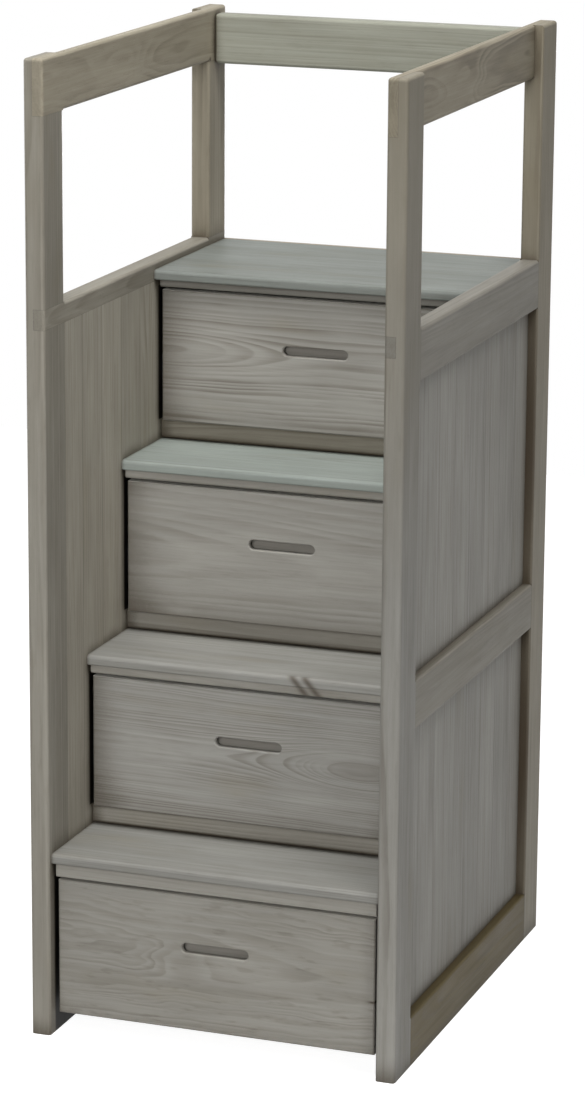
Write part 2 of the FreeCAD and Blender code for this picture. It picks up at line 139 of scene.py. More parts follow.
class Graph:
    """Adds nodes to one node tree and joins them."""

    def __init__(self, tree: bpy.types.NodeTree) -> None:
        """Keeps the tree that the nodes go into."""
        self.tree = tree

    @classmethod
    def fresh(cls, owner: bpy.types.Material | bpy.types.World) -> "Graph":
        """Empties a material or world of its nodes.

        Args:
            owner: The material or world.

        Returns:
            The graph that takes its new nodes.
        """
        owner.use_nodes = True
        owner.node_tree.nodes.clear()
        return cls(owner.node_tree)

    def feed(self, socket: Socket, value: Any) -> None:
        """Joins another socket to an input, or sets the input's own value.

        Args:
            socket: The input.
            value: The other socket or the plain value.
        """
        if isinstance(value, Socket):
            self.tree.links.new(value, socket)
        else:
            socket.default_value = value

    def add(self, kind: str, inputs: dict[str | int, Any] | None = None, **settings: Any) -> bpy.types.Node:
        """Adds a node.

        Args:
            kind: The shader node's type, without its common prefix.
            inputs: What feeds each input, by its name or number.
            settings: The node's own properties.

        Returns:
            The new node.
        """
        node = self.tree.nodes.new("ShaderNode" + kind)
        for name, setting in settings.items():
            setattr(node, name, setting)
        for key, value in (inputs or {}).items():
            self.feed(node.inputs[key], value)
        return node

    def place(self, effect: "Effect", inputs: dict[str, Any]) -> Sockets:
        """Places a shared effect, fed by its inputs' names, and gives its outputs."""
        return self.add("Group", inputs, node_tree=effect.tree).outputs

    def math(self, operation: str, *values: Value) -> Socket:
        """Adds a math node and gives its result."""
        return self.add("Math", dict(enumerate(values)), operation=operation).outputs[0]

    def times(self, first: Value, second: Value) -> Socket:
        """Multiplies two values."""
        return self.math("MULTIPLY", first, second)

    def minus(self, first: Value, second: Value) -> Socket:
        """Takes the second value from the first."""
        return self.math("SUBTRACT", first, second)

    def most(self, first: Value, second: Value) -> Socket:
        """Takes the larger of two values."""
        return self.math("MAXIMUM", first, second)

    def swing(self, value: Socket) -> Socket:
        """Centres on 0 a value that runs from 0 to 1."""
        return self.minus(value, 0.5)

    def squares(self, *values: Socket) -> Socket:
        """Adds up the squares of two values."""
        return self.math("ADD", *[self.times(value, value) for value in values])

    def plus(self, base: Value, *terms: tuple[Value, Value]) -> Value:
        """Adds terms to a base.

        Args:
            base: What they are added to.
            terms: For each term a value and how much of it counts.

        Returns:
            The sum.
        """
        for value, share in terms:
            base = self.math("MULTIPLY_ADD", value, share, base)
        return base

    def axes(self, vector: Socket) -> Sockets:
        """Takes a vector apart into its three values."""
        return self.add("SeparateXYZ", {"Vector": vector}).outputs

    def stretch(self, vector: Socket, scales: Triple) -> Socket:
        """Multiplies a vector by one scale for each axis."""
        return self.add("VectorMath", {0: vector, 1: scales}, operation="MULTIPLY").outputs[0]

    def scaled(self, vector: Socket, scale: Socket) -> Socket:
        """Multiplies a vector by one scale."""
        return self.add("VectorMath", {0: vector, "Scale": scale}, operation="SCALE").outputs[0]

    def looks(self, direction: Socket) -> Socket:
        """Tells how far a face looks in a direction, from -1 to 1."""
        flat = self.add("NewGeometry").outputs["True Normal"]
        return self.add("VectorMath", {0: direction, 1: flat}, operation="DOT_PRODUCT").outputs["Value"]

    def ramp(self, value: Value, low: Value, high: Value) -> Socket:
        """Runs smoothly from 0 at the first bound of a value to 1 at the second, which may be the lower."""
        inputs = {"Value": value, "From Min": low, "From Max": high}
        return self.add("MapRange", inputs, interpolation_type="SMOOTHSTEP").outputs[0]

    def noise(self, vector: Socket, seed: Value, detail: float = 2.0) -> Sockets:
        """Adds a noise of its own for each seed, about one unit across."""
        inputs = {"Vector": vector, "W": seed, "Scale": 1.0, "Detail": detail}
        return self.add("TexNoise", inputs, noise_dimensions="4D").outputs

    def chance(self, number: Socket) -> Sockets:
        """Draws a value and a colour for each number."""
        return self.add("TexWhiteNoise", {"W": number}, noise_dimensions="1D").outputs

    def mix(self, share: Value, first: Any, second: Any) -> Socket:
        """Mixes two colours, with such a share of the second."""
        return self.add("MixRGB", {0: share, 1: first, 2: second}).outputs[0]

    def swelling(self, *places: tuple[Value, Value, Value]) -> Socket:
        """Adds a soft spot, 1 at its middle, from the coordinate, middle and reach on each of two axes."""
        shares = [self.math("DIVIDE", self.minus(point, middle), reach) for point, middle, reach in places]
        return self.math("EXPONENT", self.times(self.squares(*shares), -1.0))


class Effect(Graph):
    """A shader node group with named inputs and outputs, which several finishes share."""

    def __init__(self, name: str, inputs: Kinds, outputs: Kinds) -> None:
        """Makes the group and its sockets.

        Args:
            name: The group's name.
            inputs: The names of its inputs, for each kind of socket.
            outputs: The names of its outputs, for each kind of socket.
        """
        super().__init__(bpy.data.node_groups.new(name, "ShaderNodeTree"))
        for direction, kinds in (("INPUT", inputs), ("OUTPUT", outputs)):
            for kind, labels in kinds.items():
                for label in labels:
                    self.tree.interface.new_socket(label, in_out=direction, socket_type="NodeSocket" + kind)
        self.inputs = self.tree.nodes.new("NodeGroupInput").outputs
        self.outputs = self.tree.nodes.new("NodeGroupOutput").inputs

    def give(self, name: str, value: Socket) -> None:
        """Joins a result to one of the group's outputs."""
        self.feed(self.outputs[name], value)

    def drawn(self, waves: Triple, seed: Value, detail: float = 2.0) -> Socket:
        """Adds a noise with so many waves to the metre on each axis."""
        return self.noise(self.stretch(self.inputs["Vector"], waves), seed, detail)[0]


class GrowthRings(Effect):
    """Growth rings of a log round a slanting, wavering heart, cut by the board's faces.

    Waves are to the metre along, across and through the board. A line darkens and ends at shares of a ring.
    """

    WAVER_WAVES: Triple = (2.6, 10.0, 10.0)
    FADING_WAVES: Triple = (5.0, 26.0, 26.0)
    FADING = (0.34, 0.66)
    UNEVEN_PACE = 0.31
    UNEVEN_REACH = 2.4
    DARKENS = (0.12, 0.82)
    ENDS = (1.0, 0.86)
    RING_WEIGHT = 0.7
    LINE_DEPTH = 0.6

    def __init__(self) -> None:
        """Builds the group: uneven rings that begin pale and end dark, bent round an eye."""
        values = (
            "Seed", "Ring Width", "Heart Across", "Heart Through", "Drift Across", "Drift Through",
            "Waviness", "Waver", "Eye Along", "Eye Across", "Eye Length", "Eye Width", "Eye Bulge",
        )
        inputs = {"Vector": ["Vector"], "Float": values}
        super().__init__("growth_rings", inputs, {"Float": ["Late Wood", "Eye"]})
        at = self.inputs
        axes = self.axes(at["Vector"])
        close = self.scaled(self.stretch(at["Vector"], self.WAVER_WAVES), at["Waver"])
        wavers = self.axes(self.noise(close, at["Seed"])["Color"])
        reaches = []
        for axis, label in ((1, "Across"), (2, "Through")):
            drifted = self.plus(axes[axis], (axes[0], at["Drift " + label]))
            centred = self.minus(drifted, at["Heart " + label])
            reaches.append(self.plus(centred, (self.swing(wavers[axis]), at["Waviness"])))
        eye = self.swelling(
            (axes[0], at["Eye Along"], at["Eye Length"]), (axes[1], at["Eye Across"], at["Eye Width"]),
        )
        bulged = self.plus(self.math("SQRT", self.squares(*reaches)), (eye, at["Eye Bulge"]))
        self.give("Late Wood", self.lines(self.math("DIVIDE", bulged, at["Ring Width"])))
        self.give("Eye", eye)

    def lines(self, count: Socket) -> Socket:
        """Adds the dark line that ends each ring.

        Args:
            count: How many rings lie inside a point.

        Returns:
            1 in the darkest late wood and 0 in early wood.
        """
        seed = self.inputs["Seed"]
        years = self.plus(seed, (count, self.UNEVEN_PACE))
        uneven = self.add("TexNoise", {"W": years, "Scale": 1.0, "Detail": 1.0}, noise_dimensions="1D")
        count = self.plus(count, (uneven.outputs[0], self.UNEVEN_REACH))
        phase = self.math("FRACT", count)
        weight = self.chance(self.math("ADD", self.math("FLOOR", count), seed))["Value"]
        fading = self.ramp(self.drawn(self.FADING_WAVES, seed), *self.FADING)
        strength = self.plus(fading, (weight, self.RING_WEIGHT))
        line = self.times(self.ramp(phase, *self.DARKENS), self.ramp(phase, *self.ENDS))
        return self.times(line, self.times(strength, self.LINE_DEPTH))


class Fibres(Effect):
    """Long streaks of fibre, short dark pores, flecks and soft clouds, by their waves to the metre."""

    BROAD_WAVES: Triple = (3.5, 95.0, 95.0)
    FINE_WAVES: Triple = (9.0, 330.0, 330.0)
    PORE_WAVES: Triple = (40.0, 900.0, 900.0)
    FLECK_WAVES: Triple = (26.0, 120.0, 120.0)
    CLOUD_WAVES: Triple = (4.0, 15.0, 15.0)
    PORES = (0.60, 0.74)
    FLECKS = (0.56, 0.72)

    def __init__(self) -> None:
        """Builds the group from noises that are drawn out along the grain."""
        masks = ["Streak", "Pore", "Fleck", "Cloud"]
        super().__init__("fibres", {"Vector": ["Vector"], "Float": ["Seed"]}, {"Float": masks})
        seed = self.inputs["Seed"]
        broad, fine = self.drawn(self.BROAD_WAVES, seed, detail=3.0), self.drawn(self.FINE_WAVES, seed)
        self.give("Streak", self.times(self.math("ADD", broad, fine), 0.5))
        self.give("Pore", self.ramp(self.drawn(self.PORE_WAVES, seed, detail=1.0), *self.PORES))
        self.give("Fleck", self.ramp(self.drawn(self.FLECK_WAVES, seed), *self.FLECKS))
        self.give("Cloud", self.drawn(self.CLOUD_WAVES, seed, detail=3.0))


class DarkSpot(Effect):
    """A small dark knot or the streak of a branch, which may lean across and through the board."""

    def __init__(self) -> None:
        """Builds the group on the board's own coordinates."""
        values = ("Along", "Across", "Length", "Width", "Lean Across", "Lean Through")
        super().__init__("dark_spot", {"Vector": ["Vector"], "Float": values}, {"Float": ["Spot"]})
        at = self.inputs
        axes = self.axes(at["Vector"])
        level = self.minus(axes[1], at["Across"])
        leaning = self.plus(axes[0], (level, at["Lean Across"]), (axes[2], at["Lean Through"]))
        self.give("Spot", self.swelling(
            (leaning, at["Along"], at["Length"]), (axes[1], at["Across"], at["Width"]),
        ))


class CornerShade(Effect):
    """Painted shade in inner corners and hollows, darker where a point is more closed in."""

    SAMPLES = 6
    CLOUD_SHARE = 0.5
    CLOSED_IN = (0.92, 0.38)

    def __init__(self, name: str, alone: bool) -> None:
        """Builds the group from how closed in a point is, made ragged by the wood's clouds.

        Args:
            name: The group's name.
            alone: Whether only the piece's own hollows count.
        """
        super().__init__(name, {"Float": ["Reach", "Cloud"]}, {"Float": ["Corner Shade"]})
        reach = {"Distance": self.inputs["Reach"]}
        hollow = self.add("AmbientOcclusion", reach, samples=self.SAMPLES, only_local=alone).outputs["AO"]
        level = self.minus(hollow, self.CLOUD_SHARE / 2)
        ragged = self.plus(level, (self.inputs["Cloud"], self.CLOUD_SHARE))
        self.give("Corner Shade", self.ramp(ragged, *self.CLOSED_IN))


class ShadowGap(Effect):
    """Painted shade: near black on the case's inner walls beside each drawer front, so that the gaps read
    as dark lines.

    In metres: how far past the wall's face it reaches, how far above a front, and how far behind a front's
    face it is full.
    """

    WALL_SLACK = 0.001
    ABOVE = 0.006
    DEPTH = 0.007

    def __init__(self, fronts: list[tuple[Vector, Vector]], wall: float) -> None:
        """Builds the group.

        Args:
            fronts: The box of each drawer front, from the lowest up.
            wall: How far the case's inner walls lie from the middle.
        """
        super().__init__("shadow_gap", {"Vector": ["Vector"]}, {"Float": ["Inside"]})
        axes = self.axes(self.inputs["Vector"])
        painted_shade: Value = 0.0
        for number, (low, high) in enumerate(fronts):
            foot = low.z if number else 0.0
            behind = self.ramp(axes[1], low.y, low.y + self.DEPTH)
            above = self.math("GREATER_THAN", axes[2], foot)
            below = self.math("LESS_THAN", axes[2], high.z + self.ABOVE)
            painted_shade = self.most(painted_shade, self.times(behind, self.times(above, below)))
        inner = self.math("LESS_THAN", self.math("ABSOLUTE", axes[0]), wall + self.WALL_SLACK)
        self.give("Inside", self.times(painted_shade, inner))


class GluedStrips(Effect):
    """A panel glued up from narrow boards, each cut elsewhere in its log, by up to so many metres."""

    SHIFT_ALONG = 7.0
    SHIFT_ACROSS = 0.12
    SHIFT_THROUGH = 0.05

    def __init__(self) -> None:
        """Builds the group: it shifts the wood from strip to strip and marks the seams."""
        inputs = {"Vector": ["Vector"], "Float": ["Seed", "Strip Width", "Seam Width"]}
        super().__init__("glued_strips", inputs, {"Vector": ["Vector"], "Float": ["Seam", "Shade"]})
        at = self.inputs
        axes = self.axes(at["Vector"])
        count = self.math("DIVIDE", axes[1], at["Strip Width"])
        chance = self.chance(self.math("ADD", self.math("FLOOR", count), at["Seed"]))
        chances = self.axes(chance["Color"])
        across = self.times(self.swing(self.math("FRACT", count)), at["Strip Width"])
        shifted = {
            "X": self.plus(axes[0], (chances[0], self.SHIFT_ALONG)),
            "Y": self.plus(across, (self.swing(chances[1]), self.SHIFT_ACROSS)),
            "Z": self.plus(axes[2], (chances[2], self.SHIFT_THROUGH)),
        }
        self.give("Vector", self.add("CombineXYZ", shifted).outputs[0])
        to_seam = self.minus(self.times(at["Strip Width"], 0.5), self.math("ABSOLUTE", across))
        self.give("Seam", self.ramp(to_seam, at["Seam Width"], 0.0))
        self.give("Shade", chance["Value"])


class SharpEdges(Effect):
    """The arrises of a board, where joints show as dark lines and free edges hold dust."""

    SAMPLES = 4
    TURNED = (0.985, 0.86)

    def __init__(self) -> None:
        """Builds the group from how far the rounded normal turns from the flat one."""
        super().__init__("sharp_edges", {"Float": ["Reach"]}, {"Float": ["Edge"]})
        soft = self.add("Bevel", {"Radius": self.inputs["Reach"]}, samples=self.SAMPLES).outputs[0]
        self.give("Edge", self.ramp(self.looks(soft), *self.TURNED))


class Facing(Effect):
    """The faces of a board that look along one axis, such as its ends, which drink more stain."""

    ALONG = (0.6, 0.95)

    def __init__(self) -> None:
        """Builds the group from the faces' normals."""
        super().__init__("facing", {"Vector": ["Axis"]}, {"Float": ["Facing"]})
        along = self.math("ABSOLUTE", self.looks(self.inputs["Axis"]))
        self.give("Facing", self.ramp(along, *self.ALONG))


class WashCoat(Effect):
    """Grey stain wiped over bare wood: how rings, fibres, clouds and edges take it, with painted shade in
    corners and beside the drawers, and painted light on the drawer fronts' tops.

    The constants are shares of the masks, the bounds of a mask from 0 to 1, and changes of the roughness.
    """

    CORNER_SHARE = 0.8
    LATE_SHINE = -0.10
    CLOUD_SHINE = 0.16
    STREAK_SHINE = 0.20
    LATE_RELIEF = 0.5
    GROUND = 0.28
    END_FADE = -0.7
    PORE_DEPTH = 0.14
    THIN_CLOUD = (0.06, 0.34)
    THIN_SHARE = 0.5
    HEART = (0.72, 0.97)
    CLOUD_SHARE = -0.9
    STRIP_SHARE = 0.16
    SEAM_SHARE = 0.2

    def __init__(self) -> None:
        """Builds the group that turns masks into colour, roughness and height."""
        values = (
            "Late Wood", "Eye", "Streak", "Pore", "Fleck", "Cloud", "Seam", "Shade", "Edge", "End", "Spot",
            "Corner Shade", "Inside", "Along", "Ring Depth", "Fibre Depth", "Cloud Depth", "Fleck Depth",
            "Eye Depth", "Edge Depth", "End Grain And Painted Light Depth", "Tone", "Fade", "Warm Fade", "Dry Roughness",
        )
        colours = [f"{name} Colour" for name in ("Early", "Late", "Bare", "Knot", "Corner", "Inside")]
        super().__init__("wash_coat", {"Float": values, "Color": colours}, SURFACE)
        at = self.inputs
        streak, cloud = self.swing(at["Streak"]), self.swing(at["Cloud"])
        lit = self.scaled(self.wood(streak, cloud), self.shade(cloud))
        # Painted shade: inner corners darken towards the corner colour, and the case's walls beside the
        # drawers towards the near-black inside colour.
        painted_shade = self.mix(self.times(at["Corner Shade"], self.CORNER_SHARE), lit, at["Corner Colour"])
        self.give("Color", self.mix(at["Inside"], painted_shade, at["Inside Colour"]))
        self.give("Roughness", self.plus(
            at["Dry Roughness"], (at["Late Wood"], self.LATE_SHINE), (cloud, self.CLOUD_SHINE),
            (streak, self.STREAK_SHINE),
        ))
        relief = self.plus(at["Streak"], (at["Late Wood"], self.LATE_RELIEF))
        self.give("Height", self.minus(relief, self.math("ADD", at["Pore"], at["Seam"])))

    def wood(self, streak: Socket, cloud: Socket) -> Socket:
        """Mixes the washed wood's colour from early and late wood, thin patches and knots.

        Args:
            streak: The fibres, from -0.5 to 0.5.
            cloud: The soft patches, from -0.5 to 0.5.

        Returns:
            The colour before its shade.
        """
        at = self.inputs
        lines = self.times(at["Late Wood"], self.plus(1.0, (at["End"], self.END_FADE)))
        grain = self.plus(
            self.GROUND, (lines, at["Ring Depth"]), (streak, at["Fibre Depth"]),
            (at["Pore"], self.PORE_DEPTH), (at["Fleck"], at["Fleck Depth"]),
        )
        clear = self.most(self.math("MINIMUM", grain, 1.0), 0.0)
        wood = self.mix(clear, at["Early Colour"], at["Late Colour"])
        thinned = self.times(at["Cloud Depth"], self.THIN_SHARE)
        thin = self.times(self.ramp(cloud, *self.THIN_CLOUD), thinned)
        warm = self.most(self.times(at["Along"], at["Warm Fade"]), 0.0)
        wood = self.mix(self.math("ADD", thin, warm), wood, at["Bare Colour"])
        heart = self.times(self.ramp(at["Eye"], *self.HEART), at["Eye Depth"])
        return self.mix(self.most(heart, at["Spot"]), wood, at["Knot Colour"])

    def shade(self, cloud: Socket) -> Socket:
        """Works out how light the board is: tone and fade, partly painted light and shade, patches, strips,
        seams, edges, end grain and the painted light on a drawer front's top.

        Args:
            cloud: The soft patches, from -0.5 to 0.5.

        Returns:
            What the colour is multiplied by.
        """
        at = self.inputs
        tone = self.plus(at["Tone"], (at["Along"], at["Fade"]))
        cloudy = self.times(cloud, at["Cloud Depth"])
        patch = self.plus(1.0, (cloudy, self.CLOUD_SHARE), (self.swing(at["Shade"]), self.STRIP_SHARE))
        seam = self.plus(self.times(at["Seam"], self.SEAM_SHARE), (at["End"], at["End Grain And Painted Light Depth"]))
        line = self.math("ADD", seam, self.times(at["Edge"], at["Edge Depth"]))
        return self.times(self.times(tone, patch), self.minus(1.0, line))


class RolledMetal(Effect):
    """Rolled and plated sheet: fine lines along the strip and faint clouds in the plating."""

    LINE_WAVES: Triple = (900.0, 14.0, 900.0)
    CLOUD_WAVES: Triple = (55.0, 30.0, 55.0)
    SMOOTH = 0.20
    CLOUD_DULLS = 0.22
    LINE_DULLS = 0.12

    def __init__(self) -> None:
        """Builds the group for colour, roughness and height."""
        inputs = {"Vector": ["Vector"], "Color": ["Bright Colour", "Dull Colour"]}
        super().__init__("rolled_metal", inputs, SURFACE)
        lines = self.drawn(self.LINE_WAVES, seed=1.0)
        clouds = self.drawn(self.CLOUD_WAVES, seed=2.0, detail=3.0)
        self.give("Color", self.mix(clouds, self.inputs["Bright Colour"], self.inputs["Dull Colour"]))
        dull = self.plus(self.SMOOTH, (clouds, self.CLOUD_DULLS), (lines, self.LINE_DULLS))
        self.give("Roughness", dull)
        self.give("Height", lines)


@dataclass(frozen=True)
class Eye:
    """A knot or eye in a board's figure, in metres from the board's middle.

    With a bulge of 0 the board is plain. A positive bulge bends the rings round the knot, and a negative
    one draws them into arches that lie inside each other.
    """

    along: float = 0.0
    across: float = 0.0
    length: float = 0.05
    width: float = 0.02
    bulge: float = 0.0
    dark: float = 0.0


@dataclass(frozen=True)
class Spot:
    """A small dark knot or the streak of a branch, in metres from the board's middle."""

    along: float
    across: float
    length: float
    width: float
    lean_across: float = 0.0
    lean_through: float = 0.0
    dark: float = 1.0


@dataclass(frozen=True)
class Shade:
    """How light and warm a board is drawn beside its neighbours, partly as painted light and shade.

    The tone is how light it is, the tint runs from -1 for cool to 1 for warm, the fade is the tone's change
    for each metre along the grain, and the warm fade is how much of the warm bare colour is mixed in for
    each metre past the middle. Tones and fades lighten boards that lie in shade and darken others, as
    painted light and shade, and the tints paint the light's colour: cool where it falls from above, warm
    in shade.
    """

    tone: float = 1.0
    tint: float = 0.0
    fade: float = 0.0
    warm_fade: float = 0.0


@dataclass(frozen=True)
class Figure:
    """How a board was cut from its log, in metres, how it took the wash, and the painted light and shade
    drawn on it.
    """

    ring_width: float = 0.005
    heart: tuple[float, float] = (0.03, 0.06)
    drift: tuple[float, float] = (0.0, 0.01)
    waviness: float = 0.012
    waver: float = 1.0
    eye: Eye = Eye()
    spots: tuple[Spot, ...] = ()
    ring_depth: float = 0.42
    fleck_depth: float = 0.10
    edge_depth: float = 0.40
    end_depth: float = 0.0
    # The next field paints light on a drawer front's top face, and the corner reach sets how far the
    # painted corner shade reaches.
    painted_top_light: float = 0.0
    corner_reach: float = 0.026
    alone: bool = False
    strip_width: float = 0.0
    shade: Shade = Shade()

    @classmethod
    def plain(cls, name: str, **own: Any) -> "Figure":
        """Draws an ordinary cut for a board with little figure of its own.

        Args:
            name: The board's name, which seeds the draw.
            own: What is known of the board.

        Returns:
            The board's figure.
        """
        draw = random.Random(name)
        drawn = cls(
            ring_width=draw.uniform(0.0035, 0.0065),
            heart=(draw.uniform(-0.05, 0.05), draw.choice((-1, 1)) * draw.uniform(0.04, 0.09)),
            drift=(draw.uniform(-0.012, 0.012), draw.uniform(-0.03, 0.03)),
            waviness=draw.uniform(0.006, 0.014),
        )
        return replace(drawn, **own)

    def rings(self) -> dict[str, float]:
        """Gives the values of the board's growth rings, by the names of their inputs.

        Returns:
            The rings' width and waviness, the heart's place and drift, and the eye.
        """
        values = inputs_of(self, "ring_width", "waviness", "waver")
        for label, place, drift in zip(("Across", "Through"), self.heart, self.drift):
            values |= {"Heart " + label: place, "Drift " + label: drift}
        eye = inputs_of(self.eye, "along", "across", "length", "width", "bulge")
        return values | {"Eye " + label: value for label, value in eye.items()}


@dataclass(frozen=True)
class WoodFinish:
    """A wood with its colours from 0 to 255 and the depth of its grain."""

    slot: Slot
    early: Colour
    late: Colour
    bare: Colour
    # The cool colour is painted light: tints towards it stand in for the cool light that falls on the
    # treads from above.
    cool: Colour = (140, 148, 143)
    knot: Colour = (72, 62, 52)
    # The corner and inside colours are painted shade: the brown of shade in inner corners and the near
    # black of the gaps beside the drawers.
    corner: Colour = (62, 52, 38)
    inside: Colour = (24, 21, 18)
    fibre_depth: float = 0.95
    cloud_depth: float = 0.45
    roughness: float = 0.52
    relief: float = 0.00025
    joint_reach: float = 0.0012
    seam_width: float = 0.0030

    def tinted(self, colour: Colour, tint: float) -> Linear:
        """Turns one of the wood's colours warm or cool and leaves it as light as it was.

        Args:
            colour: The colour.
            tint: From -1 for cool to 1 for warm.

        Returns:
            The linear colour.
        """
        early, aim, start = linear(self.early), linear(self.bare if tint > 0 else self.cool), linear(colour)
        shares = [1 + abs(tint) * (aim[channel] / early[channel] - 1) for channel in range(3)]
        level = sum(start[:3]) / sum(start[channel] * shares[channel] for channel in range(3))
        red, green, blue = (start[channel] * shares[channel] * level for channel in range(3))
        return red, green, blue, 1.0

    def wash(self, figure: Figure) -> dict[str, Any]:
        """Gives the values of the wash on one board, by the names of its inputs.

        Args:
            figure: How the board was cut and took the wash.

        Returns:
            The wash's depths and colours.
        """
        colours = {name: linear(getattr(self, name)) for name in ("bare", "knot", "corner", "inside")}
        colours |= {name: self.tinted(getattr(self, name), figure.shade.tint) for name in ("early", "late")}
        values = {f"{name.title()} Colour": colour for name, colour in colours.items()}
        values |= inputs_of(figure, "ring_depth", "fleck_depth", "edge_depth")
        values |= inputs_of(figure.shade, "tone", "fade", "warm_fade")
        values |= inputs_of(self, "fibre_depth", "cloud_depth")
        own = {"Eye Depth": figure.eye.dark, "End Grain And Painted Light Depth": figure.end_depth - figure.painted_top_light}
        return values | own | {"Dry Roughness": self.roughness}


@dataclass(frozen=True)
class MetalFinish:
    """A plated sheet metal with its colours from 0 to 255."""

    slot: Slot
    bright: Colour
    dull: Colour
    relief: float


GREY_WASHED_PINE = WoodFinish(Slot.PINE, (151, 150, 145), (112, 108, 101), (152, 140, 110))
YELLOWED_PINE = replace(GREY_WASHED_PINE, early=(150, 152, 141), late=(112, 110, 98))
DRAWER_BOX_WOOD = WoodFinish(
    Slot.BOX_WOOD, (166, 162, 154), (136, 131, 122), (166, 152, 126), roughness=0.6,
)
THIN_BOARD = WoodFinish(Slot.THIN_BOARD, (168, 160, 145), (138, 128, 110), (170, 150, 118), roughness=0.62)
DOWEL_WOOD = WoodFinish(Slot.DOWEL, (196, 168, 126), (160, 128, 88), (190, 156, 108), relief=0.0001)
ZINC_PLATED_STEEL = MetalFinish(Slot.STEEL, (58, 59, 62), (44, 45, 48), 0.00003)
PEELED_SHEET = Figure(ring_width=0.012, heart=(0.0, 0.16), drift=(0.0, 0.02), waviness=0.05)
UNSEEN_SHADE = Shade(0.95, 0.2)
# Painted light and shade in each frame board's tone: the side panels are lightened against the shade of
# their recesses, the right bottom rail is darkened and warmed for the shade near the floor, and the fades
# darken the right front post towards its top and the side panels towards the floor.
FRAME_SHADES: dict[Side, dict[str, Shade]] = {
    Side.LEFT: {
        "front_post": Shade(0.99, 0.22, -0.02, 0.12), "rear_post": Shade(1.03, 0.5),
        "guard_rail": Shade(1.12, 0.5), "shoulder_rail": Shade(1.0, 0.3),
        "side_panel": Shade(1.22, 0.27, 0.2),
    },
    Side.RIGHT: {
        "front_post": Shade(0.91, 0.05, -0.23, 0.5), "rear_post": Shade(0.92, 0.45, -0.1, 0.2),
        "guard_rail": Shade(0.93, 0.55), "shoulder_rail": Shade(0.83, 0.2),
        "middle_rail": Shade(0.89, 0.25), "bottom_rail": Shade(0.31, 1.3),
        "side_panel": Shade(1.17, 0.05, 0.05),
    },
}


